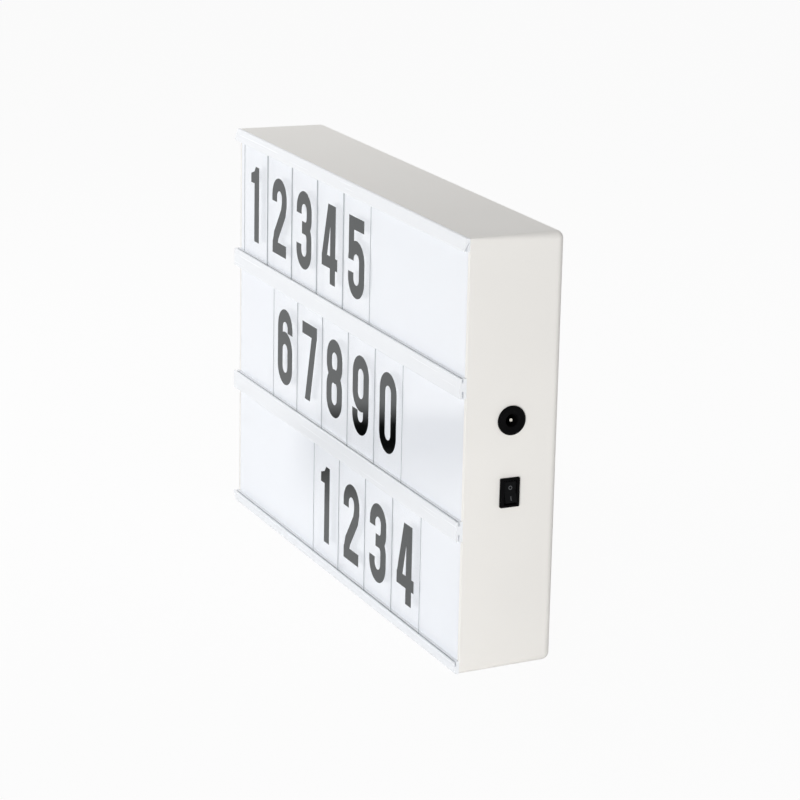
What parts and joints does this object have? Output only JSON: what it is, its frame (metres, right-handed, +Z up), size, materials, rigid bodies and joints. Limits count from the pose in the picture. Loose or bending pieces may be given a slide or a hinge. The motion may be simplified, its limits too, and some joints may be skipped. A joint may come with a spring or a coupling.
{
  "type": "cinema light box",
  "caption": "Free-standing letter light box: white moulded housing, opal front with letter rails, sliding cards, side rocker switch and power socket, battery door in the back.",
  "frame": {"origin": "centre of the box's footprint on the surface it stands on, half way between the rails' front and the back", "axes": "+X to the right seen from the front, -Y out of the lit front, +Z up"},
  "size_m": [0.303, 0.0544, 0.22],
  "materials": {
    "white_housing": "satin moulded, fine grain",
    "opal_panel": "smooth, cold white, glossy",
    "opal_rail": "translucent, smooth",
    "card_film": "thin clear film, glossy",
    "black_plastic": "satin",
    "nickel": "nickel-plated",
    "tinned_brass": "tinned",
    "board_white": "white solder mask",
    "lamp_phosphor": "phosphor window in white case",
    "resistor_black": "fired film",
    "screw_steel": "zinc-plated",
    "red_lead": "smooth insulation",
    "black_lead": "smooth insulation"
  },
  "bodies": {
    "housing": {"rear_housing": "white_housing", "keyhole_caps": "white_housing", "battery_well": "white_housing", "diffuser_panel": "opal_panel", "rail_top": "opal_rail", "rail_upper_middle": "opal_rail", "rail_lower_middle": "opal_rail", "rail_bottom": "opal_rail", "dc_jack_body": "black_plastic", "dc_jack_pin": "nickel", "dc_jack_nut": "black_plastic", "dc_jack_terminals": "tinned_brass", "switch_case": "black_plastic", "switch_terminals": "tinned_brass", "led_board_top": "board_white", "led_board_middle": "board_white", "led_board_bottom": "board_white", "leds_top": "lamp_phosphor", "leds_middle": "lamp_phosphor", "leds_bottom": "lamp_phosphor", "led_resistors": "resistor_black", "board_screws": "screw_steel", "battery_springs": "nickel", "battery_contacts_upper": "nickel", "battery_contacts_lower": "nickel", "jack_lead": "red_lead", "switch_lead": "red_lead", "board_links": "black_lead", "battery_leads": "black_lead"},
    "card_1_1": {"card_1_1": "card_film"},
    "card_1_2": {"card_1_2": "card_film"},
    "card_1_3": {"card_1_3": "card_film"},
    "card_1_4": {"card_1_4": "card_film"},
    "card_1_5": {"card_1_5": "card_film"},
    "card_2_1": {"card_2_1": "card_film"},
    "card_2_2": {"card_2_2": "card_film"},
    "card_2_3": {"card_2_3": "card_film"},
    "card_2_4": {"card_2_4": "card_film"},
    "card_2_5": {"card_2_5": "card_film"},
    "card_3_1": {"card_3_1": "card_film"},
    "card_3_2": {"card_3_2": "card_film"},
    "card_3_3": {"card_3_3": "card_film"},
    "card_3_4": {"card_3_4": "card_film"},
    "rocker": {"switch_rocker": "black_plastic"},
    "battery_door": {"battery_door": "white_housing"}
  },
  "joints": [
    {"name": "card_1_1_slide", "type": "slide", "parent": "housing", "child": "card_1_1", "axis": [1, 0, 0], "range_m": [-0.0118, 0.0224]},
    {"name": "card_1_2_slide", "type": "slide", "parent": "card_1_1", "child": "card_1_2", "axis": [1, 0, 0], "range_m": [0, 0.0224]},
    {"name": "card_1_3_slide", "type": "slide", "parent": "card_1_2", "child": "card_1_3", "axis": [1, 0, 0], "range_m": [0, 0.0224]},
    {"name": "card_1_4_slide", "type": "slide", "parent": "card_1_3", "child": "card_1_4", "axis": [1, 0, 0], "range_m": [0, 0.0224]},
    {"name": "card_1_5_slide", "type": "slide", "parent": "card_1_4", "child": "card_1_5", "axis": [1, 0, 0], "range_m": [0, 0.0224]},
    {"name": "card_2_1_slide", "type": "slide", "parent": "housing", "child": "card_2_1", "axis": [1, 0, 0], "range_m": [-0.0572, 0.0138]},
    {"name": "card_2_2_slide", "type": "slide", "parent": "card_2_1", "child": "card_2_2", "axis": [1, 0, 0], "range_m": [0, 0.0138]},
    {"name": "card_2_3_slide", "type": "slide", "parent": "card_2_2", "child": "card_2_3", "axis": [1, 0, 0], "range_m": [0, 0.0138]},
    {"name": "card_2_4_slide", "type": "slide", "parent": "card_2_3", "child": "card_2_4", "axis": [1, 0, 0], "range_m": [0, 0.0138]},
    {"name": "card_2_5_slide", "type": "slide", "parent": "card_2_4", "child": "card_2_5", "axis": [1, 0, 0], "range_m": [0, 0.0138]},
    {"name": "card_3_1_slide", "type": "slide", "parent": "housing", "child": "card_3_1", "axis": [1, 0, 0], "range_m": [-0.1173, 0.0109]},
    {"name": "card_3_2_slide", "type": "slide", "parent": "card_3_1", "child": "card_3_2", "axis": [1, 0, 0], "range_m": [0, 0.0109]},
    {"name": "card_3_3_slide", "type": "slide", "parent": "card_3_2", "child": "card_3_3", "axis": [1, 0, 0], "range_m": [0, 0.0109]},
    {"name": "card_3_4_slide", "type": "slide", "parent": "card_3_3", "child": "card_3_4", "axis": [1, 0, 0], "range_m": [0, 0.0109]},
    {"name": "rocker_tip", "type": "hinge", "parent": "housing", "child": "rocker", "pos_m": [0.1488, 0.00085, 0.0914], "axis": [0, 1, 0], "range_deg": [0, 20]},
    {"name": "battery_door_swing", "type": "hinge", "parent": "housing", "child": "battery_door", "pos_m": [0, 0.02725, 0.03375], "axis": [-1, 0, 0], "range_deg": [0, 80]}
  ]
}
